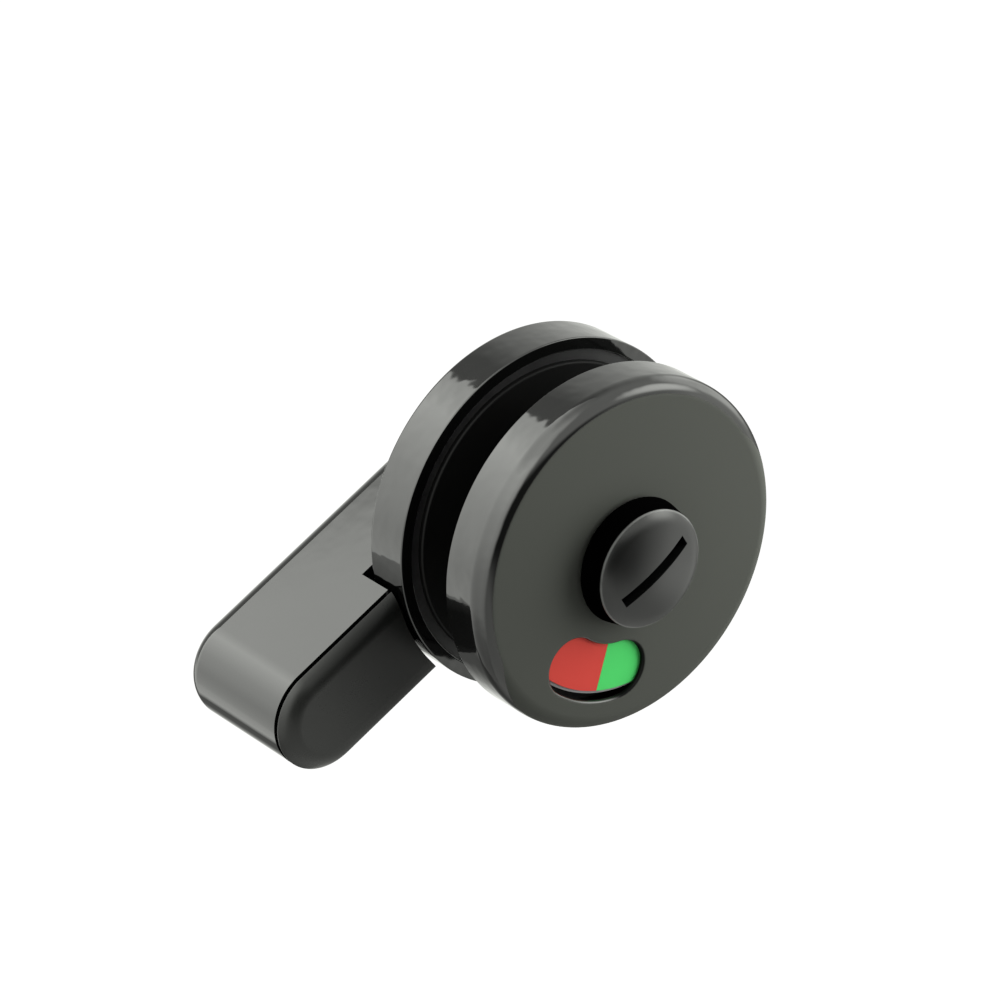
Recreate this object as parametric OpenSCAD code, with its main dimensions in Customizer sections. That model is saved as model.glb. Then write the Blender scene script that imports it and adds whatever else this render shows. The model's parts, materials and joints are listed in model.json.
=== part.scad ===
// Toilet indicator bolt for a glass door
// Millimetres. The origin is on the spindle's axis, on the glass face of the public side.
// -Y points out to the public side, +Y into the cubicle, Z up and X right as seen from the public side.

/* [Roses] */
// Diameter of both roses
rose_d = 52; // [51:0.5:60]
// Thickness of the outer rose
outer_t = 7.8; // [7.4:0.1:8.6]
// Thickness of the inner rose
inner_t = 7.2; // [7:0.1:8.6]
// Thickness of the outer rose's face round its window
face_t = 0.7; // [0.6:0.1:1.2]
// Thickness of a rose's rim where it meets the glass
rim_t = 1.9; // [1.4:0.1:2.3]
// Rounding of the outer rose's face edge
face_round = 2.5; // [1.5:0.1:2.6]
// Rounding of the inner rose's back edge
back_round = 0.6; // [0.3:0.1:1.2]

/* [Glass] */
// Thickness of the glass that the roses clamp
glass_t = 10; // [8:0.5:12]
// Diameter of the bush that lines the hole in the glass
bush_d = 26; // [25:0.5:28]

/* [Indicator] */
// How far the centre of the window's arc lies below the spindle
window_drop = 4.1; // [3.8:0.1:4.4]
// Radius of the window's middle line about that centre
window_arc_r = 13; // [12.6:0.1:13.2]
// Width of the window across its arc
window_w = 8.4; // [7.4:0.1:8.6]
// Width of the eased lip round the window
window_lip = 0.5; // [0.2:0.1:0.5]
// Angle from the window's middle to the centre of each rounded end
window_half_angle = 19.5; // [16:0.5:21]
// Angle from the arm to the line between the two colours
colour_lead = 44.7; // [40:0.1:50]
// How far beside the spindle's axis that line passes
divider_shift = 0.85; // [0:0.05:1]

/* [Coin knob] */
// Diameter of the knob where it is widest
knob_base_d = 18.6; // [18.2:0.1:19.6]
// Diameter of the knob at its front edge
knob_edge_d = 17.4; // [16.8:0.1:17.5]
// Height of the knob's front edge in front of the rose
knob_edge_h = 4.2; // [3.9:0.1:4.2]
// Height of the knob in front of the rose
knob_h = 5.95; // [5.9:0.05:6.2]
// Radius of the knob's crowned front
crown_r = 28; // [26:1:34]
// Radius of the shoulder between the crown and the front edge
shoulder_r = 6; // [5:0.5:8]
// Length of the coin slot
slot_l = 12.5; // [9:0.1:13.5]
// Width of the coin slot
slot_w = 1.75; // [1:0.05:2.4]
// Angle from the arm to the coin slot
slot_turn = -2.8; // [-5:0.1:5]

/* [Bolt arm] */
// Width of the arm
arm_w = 16; // [14.5:0.5:18]
// Distance from the spindle's axis to the arm's tip
arm_reach = 51; // [48:1:60]
// Depth of the arm from the pad's face to its back
arm_depth = 23.5; // [21:0.5:28]
// Rounding of the arm's back edge
arm_round = 3; // [1:0.1:3.4]
// How far the pad's face lies behind the glass
pad_setback = 0.6; // [0.5:0.1:1.5]
// Width of the border over which the pad's face falls away
pad_border = 3.1; // [2.6:0.1:3.2]
// Radius of that border
pad_round = 4.2; // [3.8:0.1:6]
// Gap that shows between the pad and the shell
pad_gap = 0.75; // [0.5:0.05:1]
// How far the arm is turned from the window in this pose
arm_turn = 41.5; // [0:0.1:90]

/* [Hidden] */
$fn = 96;
// A cut runs this far past the face that it opens
cut = 1;
// Travel of the spindle between its stops
travel = 90;
// Play between faces that turn past each other
face_play = 0.3;
// Radial play of the running fits
run_play = 0.05;
// Radial play of pieces that are pushed together
push_play = 0.02;

// Roses and what they hold, from the glass outwards
rose_r = rose_d / 2;
gasket_t = 0.8;
outer_plate_t = 1.6;
inner_plate_t = 2;
disc_t = 1.6;
colour_t = 0.4;
colour_play = 0.2;
rim_in_r = rose_r - rim_t;
cavity_r = rim_in_r - 0.9;
plate_r = rim_in_r - 0.1;
gasket_r = rim_in_r - 1.7;
front_y = -outer_t;
pocket_y = front_y + face_t;
colour_y = pocket_y + colour_play;
carrier_y = colour_y + colour_t;
plate_y = -gasket_t - outer_plate_t;
disc_back_y = plate_y - face_play;
disc_y = disc_back_y - disc_t;
collar_back_y = disc_y - face_play;
inner_plate_y = glass_t + gasket_t;
inner_plate_back_y = inner_plate_y + inner_plate_t;
head_h = 2.2;
cavity_back_y = inner_plate_back_y + head_h + 0.4;
back_y = glass_t + inner_t;

// Bearings and knob
stem_r = 6;
outer_bearing_r = 7.2;
outer_flange_r = 8.4;
flange_t = 0.6;
knob_lift = 0.3;
knob_y = front_y - knob_lift - 0.05;
collar_r = 9;
apex_y = front_y - knob_h;
knob_base_r = knob_base_d / 2;
knob_edge_r = knob_edge_d / 2;
knob_belly_y = front_y - 0.8;
knob_foot_r = knob_base_r - 0.3;
knob_edge_y = front_y - knob_edge_h;
slot_depth = 1.9;
slot_floor_y = apex_y + slot_depth;
pin_r = 0.8;
pin_inset = 0.4;
pin_y = (front_y + collar_back_y) / 2;
crown_y = apex_y + crown_r;
// The shoulder's centre: its arc ends at the front edge and meets the crown at a tangent
edge_to_crown = [-knob_edge_r, crown_y - knob_edge_y];
edge_gap = norm(edge_to_crown);
shoulder_turn = atan2(edge_to_crown[1], edge_to_crown[0])
    + acos((shoulder_r * shoulder_r + edge_gap * edge_gap - (crown_r - shoulder_r) * (crown_r - shoulder_r))
           / (2 * shoulder_r * edge_gap));
shoulder_c_r = knob_edge_r + shoulder_r * cos(shoulder_turn);
shoulder_c_y = knob_edge_y + shoulder_r * sin(shoulder_turn);
crown_meet_r = crown_r * shoulder_c_r / (crown_r - shoulder_r);

// Spindle
square_w = 5;
square_hole_w = square_w + 2 * push_play;
journal_r = 4;
spindle_clear_r = 4.6;
spindle_y = slot_floor_y + 1;
inner_bearing_r = 5.6;
inner_flange_r = 7.4;
inner_flange_y = back_y + flange_t;
washer_t = 0.3;
washer_back_y = inner_flange_y + washer_t;
wave_t = 0.25;
wave_h = 0.65;
wave_n = 3;
wave_in_r = 4.5;
wave_out_r = 6.9;

// Posts and screws that clamp the glass
post_at = 8.5;
post_r = 3;
post_end_y = 6;
thread_r = 2;
spigot_r = 2.3;
clamp_head_r = 3.4;
rose_screw_r = 1;
rose_screw_turn = 50;

// Colours and stop
colour_in_r = collar_r + 1.4;
colour_r = window_drop + window_arc_r + window_w / 2 - 1.2;
disc_r = colour_r + 0.5;
carrier_in_r = colour_in_r - 0.8;
colour_span = 95;
stop_turn = 90;
stop_at = 18.2;
stop_r = 1;
stop_slot_w = 2 * stop_r + 0.5;

// Arm, drawn hanging straight down and then turned
arm_r = arm_w / 2;
arm_l = arm_reach - arm_r;
wall = 1.6;
notch_r = rose_r + 0.4;
pad_y = glass_t + pad_setback;
pad_fall = pad_round - sqrt(pad_round * pad_round - pad_border * pad_border);
pad_side = 0.15;
pad_block_t = pad_fall + pad_side;
pad_back_y = pad_y + pad_block_t;
shell_y = pad_back_y + pad_gap;
hub_y = washer_back_y + face_play / 6 + wave_h;
arm_back_y = pad_y + arm_depth;
floor_t = 2.7;
floor_y = arm_back_y - floor_t;
spigot_t = 2.5;
socket_r = 5.9;
socket_cover = 3.1;
socket_back_y = arm_back_y - socket_cover;
post_setback = 4.4;
near_at = notch_r + wall + post_setback;
pad_post_r = 3;
pad_screw_r = 1.5;
pad_head_r = 2.8;
pad_head_t = 1.5;
pad_head_y = arm_back_y - pad_head_t - 0.1;
pad_screw_l = 8;
arm_screw_r = 2;
arm_screw_y = (hub_y + socket_back_y) / 2;

// Shared shapes

// Turns a shape made along Z so that it runs along Y, starting at depth y
module along_y(y) {
    translate([0, y, 0]) rotate([-90, 0, 0]) children();
}

// A shape of revolution about the spindle, from a section drawn as radius and depth
module turned() {
    rotate([-90, 0, 0]) rotate_extrude() children();
}

// A round bar between two depths
module bar(r, y0, y1) {
    along_y(y0) cylinder(h = y1 - y0, r = r);
}

// A ring between two depths
module ring(r0, r1, y0, y1) {
    turned() translate([r0, y0]) square([r1 - r0, y1 - y0]);
}

// A square bar between two depths
module square_bar(w, y0, y1) {
    translate([-w / 2, y0, -w / 2]) cube([w, y1 - y0, w]);
}

// Half of a section, with its outer corners rounded
module half_section(r, y0, y1, f0, f1) {
    intersection() {
        translate([0, y0]) square([r, y1 - y0]);
        union() {
            translate([0, y0 + f0]) square([r, y1 - y0 - f0 - f1]);
            translate([0, y0]) square([r - max(f0, f1), y1 - y0]);
            if (f0 > 0)
                translate([r - f0, y0 + f0]) circle(r = f0);
            if (f1 > 0)
                translate([r - f1, y1 - f1]) circle(r = f1);
        }
    }
}

// Half of the pad's section: a flat middle, and a border that falls away along an arc
module pad_section() {
    flat_r = arm_r - pad_border;
    intersection() {
        translate([0, pad_y]) square([arm_r, pad_block_t]);
        union() {
            translate([0, pad_y]) square([flat_r, pad_block_t]);
            translate([flat_r, pad_y + pad_round]) circle(r = pad_round);
        }
    }
}

// A half section made into a bar with round ends that hangs from the spindle
module hanging(l) {
    for (z = [0, -l])
        translate([0, 0, z]) turned() children();
    translate([0, 0, -l]) linear_extrude(l) {
        children();
        mirror([1, 0]) children();
    }
}

// Such a bar with its edges rounded
module hanging_bar(r, l, y0, y1, f0, f1) {
    hanging(l) half_section(r, y0, y1, f0, f1);
}

// An arc slot about the spindle between two angles, with its front edge flared by c
module arc_slot(y, t, r, w, a, b, c = 0) {
    translate([0, y + t, 0]) rotate([90, 0, 0]) {
        rotate([0, 0, a]) rotate_extrude(angle = b - a)
            polygon([
                [r - w / 2, 0], [r + w / 2, 0], [r + w / 2, t - c], [r + w / 2 + c, t],
                [r - w / 2 - c, t], [r - w / 2, t - c]
            ]);
        for (p = [a, b])
            rotate([0, 0, p]) translate([r, 0, 0]) {
                cylinder(h = t, d = w);
                if (c > 0)
                    translate([0, 0, t - c]) cylinder(h = c, d1 = w, d2 = w + 2 * c);
            }
    }
}

// The window's opening, with its front edge flared by c
module window_shape(y, t, c) {
    translate([0, 0, -window_drop])
        arc_slot(y, t, window_arc_r, window_w, 270 - window_half_angle, 270 + window_half_angle, c);
}

// A bush with a flange on its low or high side
module flanged_bush(r0, r1, flange_r, y0, y1, f0, f1) {
    ring(r0, r1, y0, y1);
    ring(r0, flange_r, f0, f1);
}

// A socket head screw along Y: head between y0 and y1, shank to y2 on the other side
module cap_screw(head_r, shank_r, y0, y1, y2) {
    difference() {
        union() {
            bar(head_r, y0, y1);
            bar(shank_r, y2, y0);
        }
        along_y(y1 - 1.3) cylinder(h = 1.3 + cut, r = head_r * 0.5, $fn = 6);
    }
}

// A headless screw along X with its tip at r0
module grub_screw(r, r0, r1) {
    translate([r0, 0, 0]) rotate([0, 90, 0]) difference() {
        cylinder(h = r1 - r0, r = r);
        translate([0, 0, (r1 - r0) * 0.45]) cylinder(h = r1 - r0, r = r * 0.6, $fn = 6);
    }
}

// Places a piece on the rose's screw line at depth y
module at_rose_screw(y) {
    rotate([0, rose_screw_turn, 0]) translate([0, y, 0]) children();
}

// Places the pieces that turn with the spindle
module on_spindle() {
    rotate([0, arm_turn, 0]) children();
}

// Fixed pieces

module outer_rose() {
    color([0.05, 0.05, 0.05]) difference() {
        turned() half_section(rose_r, front_y, 0, face_round, 0);
        ring(collar_r, cavity_r, pocket_y, cut);
        bar(rim_in_r, plate_y, cut);
        bar(collar_r + cut, collar_back_y, cut);
        bar(outer_bearing_r, front_y - cut, cut);
        window_shape(front_y - 0.001, face_t + 0.002, window_lip);
        at_rose_screw(plate_y / 2 - gasket_t / 2)
            rotate([0, 90, 0]) cylinder(h = rose_d, r = rose_screw_r + push_play);
    }
}

module outer_bearing() {
    color([0.08, 0.08, 0.08])
        flanged_bush(stem_r, outer_bearing_r - push_play, outer_flange_r, front_y, collar_back_y,
                     front_y - knob_lift, front_y);
}

module outer_base_plate() {
    color([0.12, 0.12, 0.12]) difference() {
        bar(plate_r, plate_y, -gasket_t);
        bar(spindle_clear_r, plate_y - cut, cut);
        for (s = [-1, 1])
            translate([s * post_at, 0, 0]) bar(spigot_r + push_play, plate_y - cut, cut);
        arc_slot(plate_y - cut, outer_plate_t + 2 * cut, stop_at, stop_slot_w, stop_turn - travel, stop_turn);
        at_rose_screw(plate_y / 2 - gasket_t / 2)
            translate([plate_r - 1, 0, 0]) rotate([0, 90, 0]) cylinder(h = 2, r = rose_screw_r + push_play);
    }
}

module gasket(y, side) {
    difference() {
        turned()
            half_section(gasket_r, y, y + gasket_t, side < 0 ? 0.4 : 0, side > 0 ? 0.4 : 0);
        bar(bush_d / 2 + 0.5, y - cut, y + gasket_t + cut);
    }
}

module outer_gasket() {
    color([0.04, 0.04, 0.04]) gasket(-gasket_t, 1);
}

module inner_gasket() {
    color([0.04, 0.04, 0.04]) gasket(glass_t, -1);
}

module outer_grub_screw() {
    color([0.3, 0.3, 0.3]) at_rose_screw(plate_y / 2 - gasket_t / 2)
        grub_screw(rose_screw_r, plate_r - 1, rose_r - 0.5);
}

module inner_grub_screw() {
    color([0.3, 0.3, 0.3]) at_rose_screw(inner_plate_y + inner_plate_t / 2)
        grub_screw(rose_screw_r, plate_r - 1, rose_r - 0.5);
}

module threaded_post(s) {
    color([0.75, 0.6, 0.3]) translate([s * post_at, 0, 0]) difference() {
        union() {
            bar(post_r, -gasket_t, post_end_y);
            bar(spigot_r, plate_y, -gasket_t);
        }
        bar(thread_r, 0.5, post_end_y + cut);
    }
}

module post_left() {
    threaded_post(-1);
}

module post_right() {
    threaded_post(1);
}

module glass_bush() {
    color([0.08, 0.08, 0.08]) difference() {
        bar(bush_d / 2, -gasket_t, inner_plate_y);
        bar(spindle_clear_r, -gasket_t - cut, inner_plate_y + cut);
        for (s = [-1, 1])
            translate([s * post_at, 0, 0]) bar(post_r + 0.1, -gasket_t - cut, inner_plate_y + cut);
    }
}

module inner_base_plate() {
    color([0.12, 0.12, 0.12]) difference() {
        bar(plate_r, inner_plate_y, inner_plate_back_y);
        bar(spindle_clear_r, inner_plate_y - cut, inner_plate_back_y + cut);
        for (s = [-1, 1])
            translate([s * post_at, 0, 0]) bar(thread_r + 0.2, inner_plate_y - cut, inner_plate_back_y + cut);
        at_rose_screw(inner_plate_y + inner_plate_t / 2)
            translate([plate_r - 1, 0, 0]) rotate([0, 90, 0]) cylinder(h = 2, r = rose_screw_r + push_play);
    }
}

module clamp_screw(s) {
    color([0.6, 0.61, 0.62]) translate([s * post_at, 0, 0])
        cap_screw(clamp_head_r, thread_r - push_play, inner_plate_back_y, inner_plate_back_y + head_h, 1);
}

module clamp_screw_left() {
    clamp_screw(-1);
}

module clamp_screw_right() {
    clamp_screw(1);
}

module inner_rose() {
    color([0.05, 0.05, 0.05]) difference() {
        turned() half_section(rose_r, glass_t, back_y, 0, back_round);
        bar(rim_in_r, glass_t - cut, inner_plate_back_y);
        bar(cavity_r, glass_t - cut, cavity_back_y);
        bar(inner_bearing_r, glass_t, back_y + cut);
        at_rose_screw(inner_plate_y + inner_plate_t / 2)
            rotate([0, 90, 0]) cylinder(h = rose_d, r = rose_screw_r + push_play);
    }
}

module inner_bearing() {
    color([0.08, 0.08, 0.08])
        flanged_bush(journal_r + run_play, inner_bearing_r - push_play, inner_flange_r,
                     cavity_back_y - 0.2, back_y, back_y, inner_flange_y);
}

module thrust_washer() {
    color([0.6, 0.61, 0.62]) ring(journal_r + 0.3, inner_flange_r - 0.2, inner_flange_y, washer_back_y);
}

// Pieces that turn

module knob_section() {
    intersection() {
        translate([0, crown_y]) circle(r = crown_r);
        translate([0, apex_y - cut]) square([crown_meet_r, knob_y - apex_y + cut]);
    }
    intersection() {
        translate([shoulder_c_r, shoulder_c_y]) circle(r = shoulder_r);
        translate([0, apex_y - cut]) square([knob_base_r, knob_edge_y - apex_y + cut]);
    }
    polygon([
        [0, knob_edge_y], [knob_edge_r, knob_edge_y], [knob_base_r, knob_belly_y], [knob_foot_r, knob_y],
        [0, knob_y]
    ]);
}

module pin_hole() {
    translate([-rose_r, pin_y, 0]) rotate([0, 90, 0]) cylinder(h = rose_d, r = pin_r + push_play);
}

module coin_knob() {
    color([0.06, 0.06, 0.06]) on_spindle() difference() {
        union() {
            turned() knob_section();
            bar(stem_r - run_play, knob_y - 0.5, disc_y);
        }
        rotate([0, slot_turn, 0])
            translate([-slot_w / 2, apex_y - cut, -slot_l / 2]) cube([slot_w, slot_depth + cut, slot_l]);
        square_bar(square_hole_w, spindle_y, cut);
        pin_hole();
    }
}

module knob_pin() {
    color([0.6, 0.61, 0.62]) on_spindle()
        translate([-stem_r + pin_inset, pin_y, 0]) rotate([0, 90, 0])
            cylinder(h = 2 * (stem_r - pin_inset), r = pin_r);
}

module spindle() {
    color([0.6, 0.61, 0.62]) on_spindle() difference() {
        union() {
            square_bar(square_w, spindle_y, disc_back_y);
            bar(journal_r, disc_back_y, washer_back_y + 0.2);
            square_bar(square_w, washer_back_y + 0.1, socket_back_y - 0.5);
        }
        pin_hole();
    }
}

module indicator_disc() {
    color([0.3, 0.3, 0.3]) on_spindle() difference() {
        union() {
            bar(disc_r, disc_y, disc_back_y);
            ring(carrier_in_r, disc_r, carrier_y, disc_y + disc_t / 2);
        }
        square_bar(square_hole_w, disc_y - cut, disc_back_y + cut);
        translate([0, 0, stop_at]) bar(stop_r + push_play, disc_y, disc_back_y + cut);
    }
}

// A sector of colour from angle a to b about the line between the colours, cut off past that line
module colour_sector(a, b, past) {
    translate([0, carrier_y, 0]) rotate([90, 0, 0]) rotate([0, 0, 270 + colour_lead]) difference() {
        rotate([0, 0, a]) rotate_extrude(angle = b - a)
            translate([colour_in_r, 0]) square([colour_r - colour_in_r, colour_t]);
        translate([0, divider_shift + past, -cut]) cube([rose_r, rose_r, colour_t + 2 * cut]);
    }
}

module red_segment() {
    color([0.75, 0.2, 0.17]) on_spindle() colour_sector(-colour_span, 8, 0);
}

module green_segment() {
    color([0.25, 0.8, 0.36]) on_spindle() colour_sector(0, colour_span, -rose_r);
}

module stop_pin() {
    color([0.6, 0.61, 0.62]) on_spindle()
        translate([0, 0, stop_at]) bar(stop_r, disc_y, -gasket_t - 0.2);
}

module wave_washer() {
    n = 72;
    mid_y = hub_y - wave_h / 2;
    amp = (wave_h - wave_t) / 2;
    points = [
        for (i = [0 : n - 1])
            let (a = 360 * i / n, y = mid_y + amp * cos(wave_n * a))
            for (p = [[wave_in_r, -1], [wave_out_r, -1], [wave_out_r, 1], [wave_in_r, 1]])
                [p[0] * cos(a), y + p[1] * wave_t / 2, p[0] * sin(a)]
    ];
    faces = [
        for (i = [0 : n - 1])
            for (k = [0 : 3])
                let (j = (i + 1) % n, m = (k + 1) % 4)
                for (f = [[4 * i + k, 4 * i + m, 4 * j + m], [4 * i + k, 4 * j + m, 4 * j + k]]) f
    ];
    color([0.6, 0.61, 0.62]) on_spindle() polyhedron(points, faces);
}

module arm_shell() {
    color([0.05, 0.05, 0.05]) on_spindle() difference() {
        hanging_bar(arm_r, arm_l, shell_y, arm_back_y, 0, arm_round);
        bar(notch_r, shell_y - cut, hub_y);
        difference() {
            hanging_bar(arm_r - wall, arm_l, shell_y - cut, floor_y, 0, 0);
            bar(notch_r + wall, shell_y - 2 * cut, arm_back_y);
        }
        bar(socket_r, hub_y - cut, socket_back_y);
        translate([0, arm_screw_y, 0]) cylinder(h = arm_w, r = arm_screw_r + push_play);
        for (z = [near_at, arm_l])
            translate([0, 0, -z]) {
                bar(pad_screw_r + 0.2, floor_y - cut, arm_back_y + cut);
                bar(pad_head_r + 0.2, pad_head_y, arm_back_y + cut);
            }
    }
}

module arm_socket() {
    color([0.75, 0.6, 0.3]) on_spindle() difference() {
        bar(socket_r - push_play, hub_y, socket_back_y);
        square_bar(square_hole_w, hub_y - cut, socket_back_y + cut);
        translate([0, arm_screw_y, 0]) cylinder(h = arm_w, r = arm_screw_r + push_play);
    }
}

module arm_grub_screw() {
    color([0.3, 0.3, 0.3]) on_spindle() translate([0, arm_screw_y, 0]) rotate([0, -90, 0])
        grub_screw(arm_screw_r, square_w / 2, arm_r - 0.6);
}

module arm_pad() {
    color([0.09, 0.09, 0.09]) on_spindle() difference() {
        union() {
            difference() {
                hanging(arm_l) pad_section();
                bar(notch_r, pad_y - cut, pad_back_y + cut);
            }
            difference() {
                hanging_bar(arm_r - wall - 0.1, arm_l, pad_back_y - 0.2, pad_back_y + spigot_t, 0, 0);
                bar(notch_r + wall + 0.1, pad_back_y - cut, pad_back_y + spigot_t + cut);
            }
            for (z = [near_at, arm_l])
                translate([0, 0, -z]) bar(pad_post_r, pad_back_y, floor_y);
        }
        for (z = [near_at, arm_l])
            translate([0, 0, -z]) bar(pad_screw_r, floor_y - pad_screw_l - 1, floor_y + cut);
    }
}

module pad_screw(z) {
    color([0.3, 0.3, 0.3]) on_spindle() translate([0, 0, -z])
        cap_screw(pad_head_r, pad_screw_r - push_play, pad_head_y, pad_head_y + pad_head_t,
                  floor_y - pad_screw_l);
}

module pad_screw_near() {
    pad_screw(near_at);
}

module pad_screw_far() {
    pad_screw(arm_l);
}

outer_rose();
outer_bearing();
outer_base_plate();
outer_gasket();
outer_grub_screw();
post_left();
post_right();
glass_bush();
inner_gasket();
inner_base_plate();
clamp_screw_left();
clamp_screw_right();
inner_rose();
inner_grub_screw();
inner_bearing();
thrust_washer();
coin_knob();
knob_pin();
spindle();
indicator_disc();
red_segment();
green_segment();
stop_pin();
wave_washer();
arm_shell();
arm_socket();
arm_grub_screw();
arm_pad();
pad_screw_near();
pad_screw_far();
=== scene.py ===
import json
import math

import bmesh
import bpy
from mathutils import Matrix, Vector


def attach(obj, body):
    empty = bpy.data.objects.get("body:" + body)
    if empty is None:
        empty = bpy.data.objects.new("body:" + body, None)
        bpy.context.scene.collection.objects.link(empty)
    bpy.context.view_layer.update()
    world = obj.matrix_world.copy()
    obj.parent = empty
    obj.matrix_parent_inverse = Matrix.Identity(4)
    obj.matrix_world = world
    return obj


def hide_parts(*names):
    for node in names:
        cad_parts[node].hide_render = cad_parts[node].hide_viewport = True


# Toilet indicator bolt for a glass door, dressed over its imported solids. Metres, one frame with the CAD.
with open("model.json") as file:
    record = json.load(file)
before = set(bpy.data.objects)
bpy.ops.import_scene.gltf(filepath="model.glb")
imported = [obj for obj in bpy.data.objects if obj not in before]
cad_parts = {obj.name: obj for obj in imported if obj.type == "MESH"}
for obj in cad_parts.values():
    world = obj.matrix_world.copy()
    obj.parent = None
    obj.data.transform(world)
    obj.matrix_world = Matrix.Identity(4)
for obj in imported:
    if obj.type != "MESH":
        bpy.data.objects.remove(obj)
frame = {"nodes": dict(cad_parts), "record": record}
solids = frame["nodes"]
bodyOf = {node: body for body, members in frame["record"]["behaviour"]["bodies"].items() for node in members}
slotOf = {entry["node"]: entry["material_slot"] for entry in frame["record"]["subparts"]}
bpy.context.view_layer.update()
mm = 0.001
restTurn = 41.5  # degrees from straight down to the arm, as in the photograph
nearBlack = (0.001, 0.001, 0.001, 1)
print("frame loaded,", len(solids), "solids")

# Camera at the photograph's place: long lens, from the upper left of the public side
viewpoint = {
    "place": (-0.50837, -0.51206, 0.16846),
    "right": (0.73787, -0.61762, 0.27221),
    "up": (-0.05239, 0.34968, 0.93540),
    "back": (-0.67290, -0.70447, 0.22566),
    "lens": 192.5,
    "sensor": 36.0,
}
lensData = bpy.data.cameras.new("viewpoint")
lensData.lens = viewpoint["lens"]
lensData.sensor_width = viewpoint["sensor"]
lensData.clip_start, lensData.clip_end = 0.01, 20
cameraObject = bpy.data.objects.new("viewpoint", lensData)
axes = Matrix((viewpoint["right"], viewpoint["up"], viewpoint["back"])).transposed()
cameraObject.matrix_world = Matrix.Translation(viewpoint["place"]) @ axes.to_4x4()
bpy.context.scene.collection.objects.link(cameraObject)
bpy.context.scene.camera = cameraObject
bpy.context.scene.view_settings.view_transform = "Standard"
print("camera placed")


# A socket that takes plain sums, so that a recipe reads as maths
class Wire:
    def __init__(self, recipe, socket):
        self.recipe, self.socket = recipe, socket

    def maths(self, operation, first, second=0.0):
        return self.recipe.node("Math", {"operation": operation}, {0: first, 1: second})

    def __add__(self, other):
        return self.maths("ADD", self, other)

    def __radd__(self, other):
        return self.maths("ADD", other, self)

    def __sub__(self, other):
        return self.maths("SUBTRACT", self, other)

    def __rsub__(self, other):
        return self.maths("SUBTRACT", other, self)

    def __mul__(self, other):
        return self.maths("MULTIPLY", self, other)

    def __rmul__(self, other):
        return self.maths("MULTIPLY", other, self)

    def __truediv__(self, other):
        return self.maths("DIVIDE", self, other)

    def __rtruediv__(self, other):
        return self.maths("DIVIDE", other, self)

    def __pow__(self, other):
        return self.maths("POWER", self, other)

    def __lt__(self, other):
        return self.maths("LESS_THAN", self, other)

    def __gt__(self, other):
        return self.maths("GREATER_THAN", self, other)


# A node tree under construction: one method makes any node, settings first, then its sockets
class Recipe:
    def __init__(self, tree):
        self.tree = tree
        tree.nodes.clear()

    def node(self, kind, settings=None, sockets=None, give=0):
        made = self.tree.nodes.new(kind if "Node" in kind else "ShaderNode" + kind)
        for key, value in (settings or {}).items():
            setattr(made, key, value)
        for key, value in (sockets or {}).items():
            for item in value if isinstance(value, list) else [value]:
                if isinstance(item, Wire):
                    self.tree.links.new(item.socket, made.inputs[key])
                else:
                    made.inputs[key].default_value = item
        return Wire(self, made.outputs[give])

    def place(self):
        return self.node("TexCoord", give="Object")

    def split(self, vector):
        return [self.node("SeparateXYZ", {}, {0: vector}, axis) for axis in "XYZ"]

    # cloudy pattern with features about that many metres across
    def cloud(self, size, detail=2.0, rough=0.5):
        return self.node("TexNoise", {}, {
            "Vector": self.place(), "Scale": 1 / size, "Detail": detail, "Roughness": rough})

    # out[0] below low, out[1] above high, eased between
    def ease(self, value, low, high, out=(0.0, 1.0)):
        return self.node("MapRange", {"interpolation_type": "SMOOTHSTEP"}, {
            0: value, 1: low, 2: high, 3: out[0], 4: out[1]})

    # straight pieces between (place, level) stops, held level outside them
    def stairs(self, value, stops):
        total = stops[0][1]
        for (start, low), (end, high) in zip(stops, stops[1:]):
            total = total + self.node("MapRange", {"clamp": True}, {
                0: value, 1: start, 2: end, 3: 0.0, 4: high - low})
        return total

    def blendColour(self, share, first, second):
        return self.node("Mix", {"data_type": "RGBA"}, {0: share, 6: first, 7: second}, 2)

    def bump(self, height, depth):
        return self.node("Bump", {}, {"Height": height, "Distance": depth, "Strength": 1.0})

    # round specks on that spacing, kept in a share of the cells
    def specks(self, spacing, radius, share):
        grid = {"Vector": self.place(), "Scale": 1 / spacing}
        cells = self.node("TexVoronoi", {"feature": "F1"}, grid, "Distance")
        tint = self.node("TexVoronoi", {"feature": "F1"}, grid, "Color")
        pick = self.node("SeparateColor", {}, {0: tint}, 0)
        return (cells < radius / spacing) * (pick < share)

    def surface(self, shader):
        end = self.tree.nodes.new("ShaderNodeOutputMaterial")
        self.tree.links.new(shader.socket, end.inputs["Surface"])


def finish(name):
    material = bpy.data.materials.new(name)
    material.use_nodes = True
    return material, Recipe(material.node_tree)


# Black lacquer of the roses and the arm's shell: glossy on the turned sides, matt on the flat public face.
# The paler matt colour is carried over the face's rounding on the lower right side only, as painted light there, and
# the window's right lip is dull near-black, as painted shade.
lacquer = {"colour": (0.0032, 0.0034, 0.0032, 1), "worn": (0.0048, 0.005, 0.0047, 1), "dust": (0.22, 0.22, 0.21, 1),
           "gloss": 0.05, "ior": 1.5, "peel": 2.8 * mm, "peelDepth": 0.07 * mm, "face": -7.79 * mm,
           "matt": (0.0515, 0.0546, 0.0472, 1), "mattWorn": (0.056, 0.0592, 0.0513, 1), "mattRough": 0.6,
           "faceFade": 0.07 * mm, "overSide": (0.74, -0.67), "overFrom": (-3 * mm, 12 * mm), "overReach": 1.8 * mm,
           "overRing": (22.6 * mm, 23.2 * mm), "lipAcross": (3.5 * mm, 6.5 * mm), "lipRing": 22.4 * mm,
           "peelRing": (24.4 * mm, 25.6 * mm), "peelEnd": (16.7 * mm, 17.15 * mm), "roseReach": 26.2 * mm,
           "armPeel": 0.08}


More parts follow.
